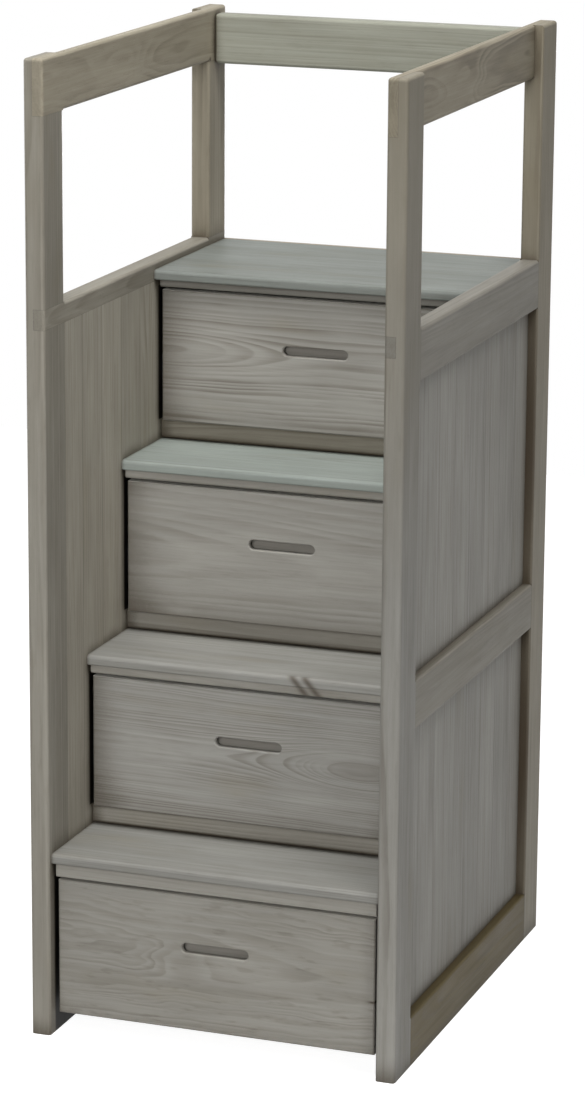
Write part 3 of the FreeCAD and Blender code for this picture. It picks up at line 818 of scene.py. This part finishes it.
class Workshop:
    """Makes the finishes from the shared effects and puts them on the pieces."""

    SEEDS = 400.0
    EVEN_SHADE = 0.5
    BUMP_STRENGTH = 0.6
    SPECULAR_LEVEL = 0.1
    BESIDE_DRAWERS = ("side_panel", "front_post")

    def __init__(self) -> None:
        """Builds each shared effect once."""
        fronts = [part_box(f"drawer_{number}_front") for number in range(1, STEP_COUNT + 1)]
        self.rings = GrowthRings()
        self.fibres = Fibres()
        self.strips = GluedStrips()
        self.spot = DarkSpot()
        self.edges = SharpEdges()
        self.facing = Facing()
        self.corners = CornerShade("corner_shade", False)
        self.hollows = CornerShade("hollow_shade", True)
        self.gap = ShadowGap(fronts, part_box("right_side_panel")[0].x)
        self.coat = WashCoat()
        self.metal = RolledMetal()

    def blank(self, name: str, slot: Slot) -> tuple[bpy.types.Material, Graph]:
        """Makes a material with no nodes yet, and the graph that takes them."""
        material = bpy.data.materials.new(f"{name}_{slot.value}")
        return material, Graph.fresh(material)

    def wood(self, name: str, finish: WoodFinish, lie: Lie, figure: Figure) -> bpy.types.Material:
        """Makes the finish of one board.

        Args:
            name: The board's name.
            finish: The wood and its stain.
            lie: Which way the board's grain runs.
            figure: How the board was cut from its log.

        Returns:
            The material.
        """
        material, graph = self.blank(name, finish.slot)
        turn = lie.turn()
        low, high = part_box(name)
        place = graph.add("TexCoord").outputs["Object"]
        centred = {"Location": -(turn @ (low + high)) / 2, "Rotation": turn.to_euler("XYZ")}
        board = graph.add("Mapping", {"Vector": place} | centred).outputs[0]
        axes = graph.axes(board)
        log = {"Vector": board, "Seed": random.Random(name).uniform(0.0, self.SEEDS)}
        masks: dict[str, Any] = {"Shade": self.EVEN_SHADE, "Along": axes[0]}
        if figure.strip_width:
            widths = {"Strip Width": figure.strip_width, "Seam Width": finish.seam_width}
            strips = graph.place(self.strips, log | widths)
            log["Vector"] = strips["Vector"]
            masks |= {key: strips[key] for key in ("Seam", "Shade")}
        masks |= graph.place(self.rings, log | figure.rings()).items()
        masks |= graph.place(self.fibres, log).items()
        masks |= graph.place(self.edges, {"Reach": finish.joint_reach}).items()
        # Painted shade in inner corners and hollows, darker where a point is more closed in.
        corners = {"Reach": figure.corner_reach, "Cloud": masks["Cloud"]}
        masks |= graph.place(self.hollows if figure.alone else self.corners, corners).items()
        # Painted light: a drawer front's top face, which lies in shade under the apron, is drawn lighter,
        # and the corner shade is kept to the faces that look through the board.
        if figure.painted_top_light:
            face, edge = (graph.place(self.facing, {"Axis": turn[axis]})["Facing"] for axis in (2, 1))
            rim = (high.z - low.z) / 2 - finish.joint_reach
            masks["End"] = graph.times(edge, graph.math("GREATER_THAN", axes[1], rim))
            masks["Corner Shade"] = graph.times(masks["Corner Shade"], face)
        elif figure.end_depth:
            masks["End"] = graph.place(self.facing, {"Axis": turn[0]})["Facing"]
        if figure.spots:
            masks["Spot"] = self.spots(graph, board, figure.spots)
        # Painted shade: the case's walls beside the drawer fronts are drawn near black behind the fronts'
        # faces.
        if name.endswith(self.BESIDE_DRAWERS):
            masks |= graph.place(self.gap, {"Vector": place}).items()
        self.surface(graph, graph.place(self.coat, masks | finish.wash(figure)), finish.relief, 0.0)
        return material

    def spots(self, graph: Graph, board: Socket, spots: tuple[Spot, ...]) -> Value:
        """Joins a board's dark spots.

        Args:
            graph: The material's nodes.
            board: The board's own coordinates.
            spots: The spots.

        Returns:
            The darkest of them at each point.
        """
        darkest: Value = 0.0
        for spot in spots:
            inputs = inputs_of(spot, "along", "across", "length", "width", "lean_across", "lean_through")
            mask = graph.place(self.spot, {"Vector": board} | inputs)["Spot"]
            darkest = graph.most(darkest, graph.times(mask, spot.dark))
        return darkest

    def steel(self, name: str, finish: MetalFinish) -> bpy.types.Material:
        """Makes the plated metal of one piece.

        Args:
            name: The piece's name.
            finish: The metal.

        Returns:
            The material.
        """
        material, graph = self.blank(name, finish.slot)
        inputs = {"Bright Colour": linear(finish.bright), "Dull Colour": linear(finish.dull)}
        inputs["Vector"] = graph.add("TexCoord").outputs["Object"]
        self.surface(graph, graph.place(self.metal, inputs), finish.relief, 1.0)
        return material

    def surface(self, graph: Graph, coat: Sockets, relief: float, metallic: float) -> None:
        """Ends a material in its shader.

        Args:
            graph: The material's nodes.
            coat: The colour, roughness and height of the surface.
            relief: The height of the relief, in metres.
            metallic: 1 for metal, 0 for wood.
        """
        bump = {"Height": coat["Height"], "Distance": relief, "Strength": self.BUMP_STRENGTH}
        inputs = {
            "Base Color": coat["Color"], "Roughness": coat["Roughness"], "Metallic": metallic,
            "Normal": graph.add("Bump", bump).outputs[0], "Specular IOR Level": self.SPECULAR_LEVEL,
        }
        graph.add("OutputMaterial", {"Surface": graph.add("BsdfPrincipled", inputs).outputs[0]})

    def cover(self, node: str, material: bpy.types.Material) -> None:
        """Puts a material on a solid of the frame.

        Args:
            node: The solid's name.
            material: What covers it.
        """
        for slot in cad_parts[node].material_slots:
            slot.material = material
        LOG.info("dressed %s in %s", node, material.name)


def placed(name: str, data: Any) -> bpy.types.Object:
    """Makes an object of a mesh, lamp or camera and puts it into the scene."""
    bpy.context.scene.collection.objects.link(thing := bpy.data.objects.new(name, data))
    return thing


def modelled(name: str, mesh: BMesh, material: bpy.types.Material) -> bpy.types.Object:
    """Turns a finished mesh into an object of the scene.

    Args:
        name: The object's name.
        mesh: The mesh, which is used up.
        material: Its finish.

    Returns:
        The object.
    """
    data = bpy.data.meshes.new(name)
    mesh.to_mesh(data)
    mesh.free()
    data.materials.append(material)
    return placed(name, data)


def only(kind: type, made: dict[str, list]) -> list:
    """Picks the vertices, edges or faces out of what a mesh operator made."""
    return [item for item in made["geom"] if isinstance(item, kind)]


@dataclass
class ScrewHeads:
    """Low pan heads with a cross recess, in metres and shares of a head, standing on a surface."""

    name: str
    body: str
    radius: float = 0.0040
    height: float = 0.0013
    recess_depth: float = 0.0009
    recess_floor: float = 0.75
    arm_reach: float = 0.0024
    arm_width: float = 0.0009
    rim_share: float = 0.72
    shoulder_share: float = 0.92
    shoulder_drop: float = 0.30
    places: list[tuple[Vector, Vector]] = field(default_factory=list)

    def add(self, place: Sequence[float], facing: Sequence[float]) -> None:
        """Notes one screw: the point on the surface and the way that its head faces."""
        self.places.append((Vector(place), Vector(facing)))

    def head(self, mesh: BMesh) -> list[BMVert]:
        """Models one head that stands on the origin and faces up.

        Args:
            mesh: The mesh that takes the head.

        Returns:
            The head's vertices.
        """
        half = self.arm_width / 2
        before = set(mesh.verts)
        lift = Matrix.Translation((0, 0, self.height))
        middle = bmesh.ops.create_grid(mesh, x_segments=1, y_segments=1, size=half, matrix=lift)["verts"]
        cross = [face for face in mesh.faces if set(face.verts) <= set(middle)]
        for edge in list(cross[0].edges):
            away = (edge.verts[0].co + edge.verts[1].co) / 2
            away = Vector((away.x, away.y, 0)).normalized()
            arm = bmesh.ops.extrude_edge_only(mesh, edges=[edge])
            bmesh.ops.translate(mesh, verts=only(BMVert, arm), vec=away * (self.arm_reach - half))
            cross += only(BMFace, arm)
        outline = [edge for face in cross for edge in face.edges if edge.is_boundary]
        flat = self.radius * self.rim_share
        top = bmesh.ops.create_circle(mesh, segments=len(outline), radius=flat, matrix=lift)["verts"]
        rim = [edge for edge in mesh.edges if set(edge.verts) <= set(top)]
        bmesh.ops.bridge_loops(mesh, edges=outline + rim)
        self.sink(mesh, cross)
        self.skirt(mesh, rim)
        made = [vert for vert in mesh.verts if vert not in before]
        faces = [face for face in mesh.faces if face.verts[0] not in before]
        bmesh.ops.recalc_face_normals(mesh, faces=faces)
        return made

    def sink(self, mesh: BMesh, cross: list[BMFace]) -> None:
        """Presses the cross into the head, a little smaller at its floor.

        Args:
            mesh: The mesh that holds the head.
            cross: The faces of the cross.
        """
        floor = only(BMVert, bmesh.ops.extrude_face_region(mesh, geom=cross))
        bmesh.ops.delete(mesh, geom=cross, context="FACES_ONLY")
        bmesh.ops.translate(mesh, verts=floor, vec=(0, 0, -self.recess_depth))
        bmesh.ops.scale(mesh, verts=floor, vec=(self.recess_floor, self.recess_floor, 1.0))

    def skirt(self, mesh: BMesh, rim: list[BMEdge]) -> None:
        """Rounds the head from its flat top down to the surface.

        Args:
            mesh: The mesh that holds the head.
            rim: The edges round the flat top.
        """
        shoulder = (self.shoulder_share / self.rim_share, self.shoulder_drop)
        foot = (1.0 / self.shoulder_share, 1.0 - self.shoulder_drop)
        for wider, drop in (shoulder, foot):
            turned = bmesh.ops.extrude_edge_only(mesh, edges=rim)
            verts = only(BMVert, turned)
            rim = [edge for edge in only(BMEdge, turned) if set(edge.verts) <= set(verts)]
            bmesh.ops.scale(mesh, verts=verts, vec=(wider, wider, 1.0))
            bmesh.ops.translate(mesh, verts=verts, vec=(0, 0, -self.height * drop))

    def build(self, workshop: Workshop) -> None:
        """Makes all the heads as one piece and dresses it.

        Args:
            workshop: Where its finish is made.
        """
        mesh = bmesh.new()
        for place, facing in self.places:
            turn = facing.to_track_quat("Z", "Y").to_matrix().to_4x4()
            bmesh.ops.transform(mesh, matrix=Matrix.Translation(place) @ turn, verts=self.head(mesh))
        piece = modelled(self.name, mesh, workshop.steel(self.name, ZINC_PLATED_STEEL))
        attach(piece, self.body)
        LOG.info("built %s: %d heads on %s", self.name, len(self.places), self.body)


def spread(low: float, high: float, count: int, margin: float) -> Iterator[float]:
    """Gives so many evenly spaced places between two ends, the first and last a margin from them."""
    first, last = low + margin, high - margin
    return (first + (last - first) * step / (count - 1) for step in range(count))


@dataclass
class Assembly:
    """A part of the staircase, which takes its finishes from one workshop."""

    workshop: Workshop

    def board(self, node: str, lie: Lie, figure: Figure, finish: WoodFinish = GREY_WASHED_PINE) -> None:
        """Dresses a solid in wood."""
        self.workshop.cover(node, self.workshop.wood(node, finish, lie, figure))

    def metal(self, node: str) -> None:
        """Dresses a solid in plated steel."""
        self.workshop.cover(node, self.workshop.steel(node, ZINC_PLATED_STEEL))

    def build(self) -> None:
        """Adds the screws; a part without any adds nothing."""


@dataclass
class SideFrame(Assembly):
    """One side: two posts, four rails across them and a glued-up panel."""

    side: Side
    panel_strip: float = 0.088
    end_depth: float = 0.2
    post_lean: float = 0.006
    step_reach: float = 0.05
    # The three fields below paint shade along the rear post's front edge, in the step that the front post
    # shades.
    recess_shade_share: float = 0.6
    recess_shade_width: float = 0.0035
    recess_shade_dark: float = 0.85
    rails: tuple[str, ...] = ("guard_rail", "shoulder_rail", "middle_rail", "bottom_rail")

    def shade(self, board: str) -> Shade:
        """Tells how one of the frame's boards took the wash."""
        return FRAME_SHADES[self.side].get(board, UNSEEN_SHADE)

    def dress(self) -> None:
        """Dresses the posts, the rails and the panel."""
        for post in ("front_post", "rear_post"):
            node = f"{self.side.value}_{post}"
            lean = random.Random(node).uniform(-self.post_lean, self.post_lean)
            cut = Figure(
                ring_width=0.0042, heart=(0.07, 0.02), drift=(lean, 0.0), waviness=0.008, ring_depth=0.55,
                corner_reach=self.step_reach, spots=self.step(node) if post == "rear_post" else (),
                shade=self.shade(post),
            )
            self.board(node, Lie.UPRIGHT_SIDE, cut)
        for rail in self.rails:
            node = f"{self.side.value}_{rail}"
            cut = self.swirl() if rail == "guard_rail" else Figure.plain(node)
            cut = replace(cut, end_depth=self.end_depth, shade=self.shade(rail))
            self.board(node, Lie.DEEP_UPRIGHT, cut)
        panel = Figure(
            ring_width=0.0060, heart=(0.0, 0.05), drift=(0.01, 0.012), waviness=0.018, ring_depth=0.45,
            strip_width=self.panel_strip, shade=self.shade("side_panel"),
        )
        self.board(f"{self.side.value}_side_panel", Lie.UPRIGHT_SIDE, panel)

    def step(self, post: str) -> tuple[Spot, ...]:
        """Gives the painted shade in the step between the rear post and the panel.

        Args:
            post: The rear post.

        Returns:
            The painted shade along the post's front edge, one spot beside each half of the panel.
        """
        low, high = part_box(post)
        middle, edge = (low.z + high.z) / 2, (low.y - high.y) / 2
        rails = [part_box(f"{self.side.value}_{rail}") for rail in reversed(self.rails[1:])]
        spots = []
        for under, over in zip(rails, rails[1:]):
            foot, head = under[1].z, over[0].z
            along, length = (foot + head) / 2 - middle, (head - foot) * self.recess_shade_share
            spots.append(Spot(along, edge, length, self.recess_shade_width, dark=self.recess_shade_dark))
        return tuple(spots)

    def swirl(self) -> Figure:
        """Gives the guard rail's cut.

        Returns:
            A flat-sawn board whose rings swirl round an eye, with a small dark knot.
        """
        eye = Eye(along=-0.06, across=0.004, length=0.11, width=0.030, bulge=0.020)
        knot = Spot(along=0.344, across=-0.044, length=0.004, width=0.004)
        return Figure(
            ring_width=0.0060, heart=(0.0, 0.085), drift=(0.02, 0.02), waviness=0.030, waver=1.3, eye=eye,
            spots=(knot,), ring_depth=1.3 if self.side is Side.RIGHT else 0.5,
        )


@dataclass
class Back(Assembly):
    """The guard rail across the back with its dowels, and the panel that closes the case."""

    screw_count: int = 9
    screw_inset: float = 0.005
    screw_margin: float = 0.05

    def dress(self) -> None:
        """Dresses the rail, the dowels and the panel."""
        rail = Figure(
            ring_width=0.0065, heart=(0.10, 0.05), drift=(0.01, 0.0), waviness=0.010, ring_depth=0.35,
            shade=Shade(1.07, 0.05),
        )
        self.board("back_guard_rail", Lie.ACROSS_UPRIGHT, rail, YELLOWED_PINE)
        self.board("guard_rail_dowels", Lie.ACROSS_FLAT, Figure.plain("dowels"), DOWEL_WOOD)
        self.board("back_panel", Lie.UPRIGHT_BACK, PEELED_SHEET, THIN_BOARD)

    def build(self) -> None:
        """Screws the panel into the posts' rabbets."""
        low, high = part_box("back_panel")
        heads = ScrewHeads("back_panel_screws", BODY_OF_CASE)
        for x in (low.x + self.screw_inset, high.x - self.screw_inset):
            for z in spread(low.z, high.z, self.screw_count, self.screw_margin):
                heads.add((x, high.y, z), (0, 1, 0))
        heads.build(self.workshop)


@dataclass
class Steps(Assembly):
    """The treads, the aprons and strips under and behind them, and the cleats that carry them.

    An apron takes its tread's shade, its tone times its share under the tread, and at least the apron's
    tint. These shares and the warm tint paint the shade under the noses, lighter for the lower aprons, and
    the treads' cool tints and the strips' tones are painted light and shade too. A branch runs down the
    front of one step.
    """

    cleat_screws: int = 3
    screw_margin: float = 0.05
    cleat_height: float = 0.018
    ring_depth: float = 0.30
    strip_edge: float = 0.1
    tread_edge: float = -0.06
    tread_reach: float = 0.008
    apron_edge: float = 0.0
    apron_reach: float = 0.012
    apron_tint: float = 0.1
    branch_step: int = 2
    branch_along: tuple[float, ...] = (0.088, 0.111)
    branch_width: float = 0.0075
    branch_dark: float = 0.75
    branch_lean: float = 0.85
    nose_reach: float = 0.008
    # Painted light and shade: the tones and tints below set how light and warm each tread, apron and strip
    # is drawn.
    shades: tuple[Shade, ...] = (
        Shade(0.97, -0.1), Shade(1.08, -0.1, 0.4), Shade(1.1, -0.9), Shade(0.8, -0.7),
    )
    under: tuple[float, ...] = (1.25, 1.1, 0.95, 0.97)
    strips: tuple[Shade, ...] = (Shade(1.25, 0.15), Shade(1.1, 0.15), Shade(0.93, 0.35))

    def treads(self) -> list[str]:
        """Lists the treads from the lowest up."""
        return [f"tread_{number}" for number in range(1, STEP_COUNT)] + ["landing"]

    def dress(self) -> None:
        """Dresses the boards of every step."""
        for number, (tread, shade, share) in enumerate(zip(self.treads(), self.shades, self.under), 1):
            under = replace(shade, tone=shade.tone * share, tint=max(shade.tint, self.apron_tint))
            boards = (
                (tread, Lie.ACROSS_FLAT, self.tread_edge, self.tread_reach, shade),
                (f"apron_{number}", Lie.ACROSS_UPRIGHT, self.apron_edge, self.apron_reach, under),
            )
            for node, lie, edge, reach, own in boards:
                spots = self.branch(node, lie) if number == self.branch_step else ()
                cut = Figure.plain(node, ring_depth=self.ring_depth, edge_depth=edge, corner_reach=reach)
                self.board(node, lie, replace(cut, shade=own, spots=spots))
        for number, shade in enumerate(self.strips, 2):
            node = f"riser_strip_{number}"
            cut = Figure.plain(node, edge_depth=self.strip_edge, shade=shade)
            self.board(node, Lie.ACROSS_UPRIGHT, cut)
        for side in Side:
            node = f"{side.value}_tread_cleats"
            self.board(node, Lie.DEEP_UPRIGHT, Figure.plain(node))

    def branch(self, node: str, lie: Lie) -> tuple[Spot, ...]:
        """Gives the two slanting streaks of a branch that run down a step's front edge.

        Args:
            node: The tread or apron that they cross.
            lie: Which way that board lies.

        Returns:
            The streaks.
        """
        low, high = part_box(node)
        height = high.z - low.z
        shift, across, width, leans = height * self.branch_lean, 0.0, height, (self.branch_lean, 0.0)
        if lie is Lie.ACROSS_FLAT:
            shift, across, width = 0.0, (low.y - high.y) / 2, self.nose_reach
            leans = (0.0, self.branch_lean)
        places = [along + shift for along in self.branch_along]
        return tuple(Spot(x, across, self.branch_width, width, *leans, self.branch_dark) for x in places)

    def build(self) -> None:
        """Screws the cleats to the side frames."""
        heads = ScrewHeads("cleat_screws", BODY_OF_CASE)
        for side in Side:
            low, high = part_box(f"{side.value}_tread_cleats")
            face = low.x if side is Side.RIGHT else high.x
            for number, tread in enumerate(self.treads(), 1):
                bottom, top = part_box(tread)
                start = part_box(f"apron_{number}")[1].y
                z = bottom.z - self.cleat_height / 2
                for y in spread(start, top.y, self.cleat_screws, self.screw_margin):
                    heads.add((face, y, z), (-side.outward, 0, 0))
        heads.build(self.workshop)


@dataclass
class Drawer(Assembly):
    """One drawer: a slotted front screwed to a grooved box that runs on two slides."""

    number: int
    figure: Figure
    # Painted shade: the inner front, seen through the slot, is drawn this much darker.
    behind_slot: float = 0.78
    box_edge: float = 0.2
    front_screw_rows: int = 2
    front_screw_inset: float = 0.07
    slide_screws: int = 3
    slide_margin: float = 0.04
    sheet: float = 0.0015

    @property
    def name(self) -> str:
        """Gives the drawer's body, which also begins its pieces' names."""
        return f"drawer_{self.number}"

    def dress(self) -> None:
        """Dresses the front, the box and the slides."""
        self.board(f"{self.name}_front", Lie.ACROSS_UPRIGHT, self.figure)
        boards = {
            "inner_front": Lie.ACROSS_UPRIGHT, "back": Lie.ACROSS_UPRIGHT,
            "left_side": Lie.DEEP_UPRIGHT, "right_side": Lie.DEEP_UPRIGHT,
        }
        for board, lie in boards.items():
            node = f"{self.name}_{board}"
            shade = Shade(self.behind_slot) if board == "inner_front" else Shade()
            cut = Figure.plain(node, edge_depth=self.box_edge, alone=True, shade=shade)
            self.board(node, lie, cut, DRAWER_BOX_WOOD)
        sheet = replace(PEELED_SHEET, alone=True)
        self.board(f"{self.name}_bottom", Lie.DEEP_FLAT, sheet, THIN_BOARD)
        self.metal(f"{self.name}_slides")

    def build(self) -> None:
        """Screws the front to the box and the slides to the box's sides."""
        low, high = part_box(f"{self.name}_inner_front")
        heads = ScrewHeads(f"{self.name}_front_screws", self.name)
        inset = self.front_screw_inset
        for x in (low.x + inset, high.x - inset):
            for z in spread(low.z, high.z, self.front_screw_rows, inset):
                heads.add((x, high.y, z), (0, 1, 0))
        heads.build(self.workshop)
        heads = ScrewHeads(f"{self.name}_slide_screws", self.name)
        for side in Side:
            low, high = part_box(f"{self.name}_{side.value}_side")
            face = high.x if side is Side.RIGHT else low.x
            self.along_slide(heads, face + side.outward * self.sheet, side.outward)
        heads.build(self.workshop)

    def along_slide(self, heads: ScrewHeads, x: float, facing: int) -> None:
        """Notes the screws in the web of one slide.

        Args:
            heads: The screws that they join.
            x: Where the web's open face lies.
            facing: The sign of X that the face looks to.
        """
        low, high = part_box(f"{self.name}_slides")
        for y in spread(low.y, high.y, self.slide_screws, self.slide_margin):
            heads.add((x, y, (low.z + high.z) / 2), (facing, 0, 0))


@dataclass
class CaseSlides(Assembly):
    """The fixed halves of the drawer slides, screwed to the side frames."""

    drawers: list[Drawer]

    def dress(self) -> None:
        """Dresses the fixed channels."""
        self.metal("case_slides")

    def build(self) -> None:
        """Screws the fixed channels to the side frames."""
        low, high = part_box("case_slides")
        heads = ScrewHeads("case_slide_screws", BODY_OF_CASE)
        for drawer in self.drawers:
            for side in Side:
                face = high.x if side is Side.RIGHT else low.x
                drawer.along_slide(heads, face - side.outward * drawer.sheet, -side.outward)
        heads.build(self.workshop)


@dataclass(frozen=True)
class Lamp:
    """A soft round lamp: its place from the object's middle and size in metres, its power in watts."""

    name: str
    away: Triple
    size: float
    power: float


@dataclass
class Studio:
    """The camera, a plain white floor and soft light, in metres and degrees."""

    camera_place: Triple = (2.283, -6.401, 2.532)
    azimuth: float = 19.70
    elevation: float = 14.26
    roll: float = 0.41
    focal_pixels: float = 3978.4
    image_height: float = 1093.0
    sensor: float = 36.0
    floor_half: float = 4.0
    floor_colour: Colour = (178, 178, 178)
    floor_glow: float = 0.9
    sky_level: float = 0.03
    lamps: tuple[Lamp, ...] = (
        Lamp("front_lamp", (0.6, -8.0, 2.0), 3.0, 310.0),
        Lamp("overhead_lamp", (0.0, -1.2, 5.5), 2.4, 248.0),
        Lamp("side_lamp", (6.0, -4.0, 2.5), 2.4, 85.0),
        Lamp("right_lamp", (2.2, -1.5, 5.0), 2.4, 90.0),
        Lamp("back_lamp", (-1.0, 8.0, -0.25), 1.2, 230.0),
        Lamp("left_lamp", (-8.0, 0.5, -0.25), 1.2, 230.0),
    )

    def camera(self) -> None:
        """Places the camera where the photograph was taken from."""
        data = bpy.data.cameras.new("camera")
        data.sensor_width = self.sensor
        data.lens = self.focal_pixels * self.sensor / self.image_height
        camera = placed("camera", data)
        around, above = math.radians(self.azimuth), math.radians(self.elevation)
        level = math.cos(above)
        back = Vector((math.sin(around) * level, -math.cos(around) * level, math.sin(above)))
        right = Vector((0, 0, 1)).cross(back).normalized()
        axes = Matrix((right, back.cross(right), back)).transposed()
        turn = axes @ Matrix.Rotation(math.radians(self.roll), 3, "Z")
        camera.matrix_world = Matrix.Translation(self.camera_place) @ turn.to_4x4()
        bpy.context.scene.camera = camera

    def light(self, lamp: Lamp) -> None:
        """Hangs one lamp so that it faces the object.

        Args:
            lamp: The lamp.
        """
        data = bpy.data.lights.new(lamp.name, "AREA")
        data.shape = "DISK"
        data.size = lamp.size
        data.energy = lamp.power
        low, high = CAD_BOX
        away = Vector(lamp.away)
        turn = away.to_track_quat("Z", "Y").to_matrix().to_4x4()
        placed(lamp.name, data).matrix_world = Matrix.Translation((low + high) / 2 + away) @ turn

    def sky(self) -> None:
        """Surrounds the object with even light that is white to the eye."""
        world = bpy.data.worlds.new("soft_sky")
        bpy.context.scene.world = world
        graph = Graph.fresh(world)
        levels = (self.sky_level, 1.0)
        light, white = (graph.add("Background", {"Color": WHITE, "Strength": level}) for level in levels)
        both = graph.add("MixShader", {"Fac": self.seen(graph), 1: light.outputs[0], 2: white.outputs[0]})
        graph.add("OutputWorld", {"Surface": both.outputs[0]})

    def seen(self, graph: Graph) -> Socket:
        """Adds the test for what is seen straight, mirrored or through glass.

        Args:
            graph: The nodes that it joins.

        Returns:
            1 where it is seen and 0 where it only gives light.
        """
        path = graph.add("LightPath").outputs
        mirrored = graph.most(path["Is Glossy Ray"], path["Is Transmission Ray"])
        return graph.most(path["Is Camera Ray"], mirrored)

    def floor(self) -> None:
        """Lays a plain white floor that keeps the object's shadow."""
        mesh = bmesh.new()
        bmesh.ops.create_grid(mesh, x_segments=1, y_segments=1, size=self.floor_half)
        material = bpy.data.materials.new("white_floor")
        graph = Graph.fresh(material)
        matt = graph.add("BsdfDiffuse", {"Color": linear(self.floor_colour)})
        glow = graph.add("Emission", {"Strength": graph.times(self.seen(graph), self.floor_glow)})
        both = graph.add("AddShader", {0: matt.outputs[0], 1: glow.outputs[0]})
        graph.add("OutputMaterial", {"Surface": both.outputs[0]})
        floor = modelled("floor", mesh, material)

    def build(self) -> None:
        """Sets up the camera, the floor and the light."""
        bpy.context.scene.view_settings.view_transform = "Standard"
        self.camera()
        self.floor()
        self.sky()
        for lamp in self.lamps:
            self.light(lamp)


def drawer_figures() -> list[Figure]:
    """Gives the cut of each drawer front.

    Returns:
        The figures, from the lowest drawer up.
    """
    swirl = Eye(along=-0.06, across=-0.003, length=0.05, width=0.030, bulge=0.018)
    knot = Spot(along=0.286, across=-0.027, length=0.009, width=0.0022)
    arches = Eye(along=0.205, across=0.0, length=0.13, width=0.045, bulge=-0.045, dark=0.25)
    flame = Eye(along=-0.27, across=0.014, length=0.17, width=0.040, bulge=-0.035)
    # The fronts' corner reaches paint shade on the fronts near the side walls, aprons and strips.
    lowest = Figure(
        ring_width=0.0075, heart=(0.01, -0.06), drift=(0.01, 0.05), waviness=0.030, waver=2.6, eye=swirl,
        spots=(knot,), ring_depth=0.42, fleck_depth=0.24, corner_reach=0.07, shade=Shade(1.09, 0.1),
    )
    second = Figure(
        ring_width=0.0050, heart=(0.0, -0.020), drift=(0.015, 0.0), waviness=0.010, waver=1.3, eye=arches,
        ring_depth=0.62, fleck_depth=0.08, corner_reach=0.09, shade=Shade(1.18),
    )
    third = Figure(
        ring_width=0.0110, heart=(-0.01, -0.062), drift=(0.03, 0.05), waviness=0.016, waver=1.2,
        ring_depth=0.36, fleck_depth=0.10, corner_reach=0.11, shade=Shade(1.16, 0.05),
    )
    highest = Figure(
        ring_width=0.0094, heart=(0.014, -0.020), drift=(0.0, 0.0), waviness=0.018, waver=1.1, eye=flame,
        ring_depth=0.80, fleck_depth=0.0, corner_reach=0.10, shade=Shade(1.21, 0.05),
    )
    # Painted light on each front's top face, which lies in shade under the apron.
    return [replace(cut, edge_depth=-0.05, painted_top_light=0.6) for cut in (lowest, second, third, highest)]


def main() -> None:
    """Dresses and builds each sub-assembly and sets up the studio."""
    logging.basicConfig(level=logging.INFO, format="%(name)s: %(message)s")
    workshop = Workshop()
    frames = [SideFrame(workshop, side) for side in Side]
    drawers = [Drawer(workshop, number, figure) for number, figure in enumerate(drawer_figures(), 1)]
    for assembly in (*frames, Back(workshop), Steps(workshop), *drawers, CaseSlides(workshop, drawers)):
        assembly.dress()
        assembly.build()
    Studio().build()


if __name__ == "__main__":
    main()
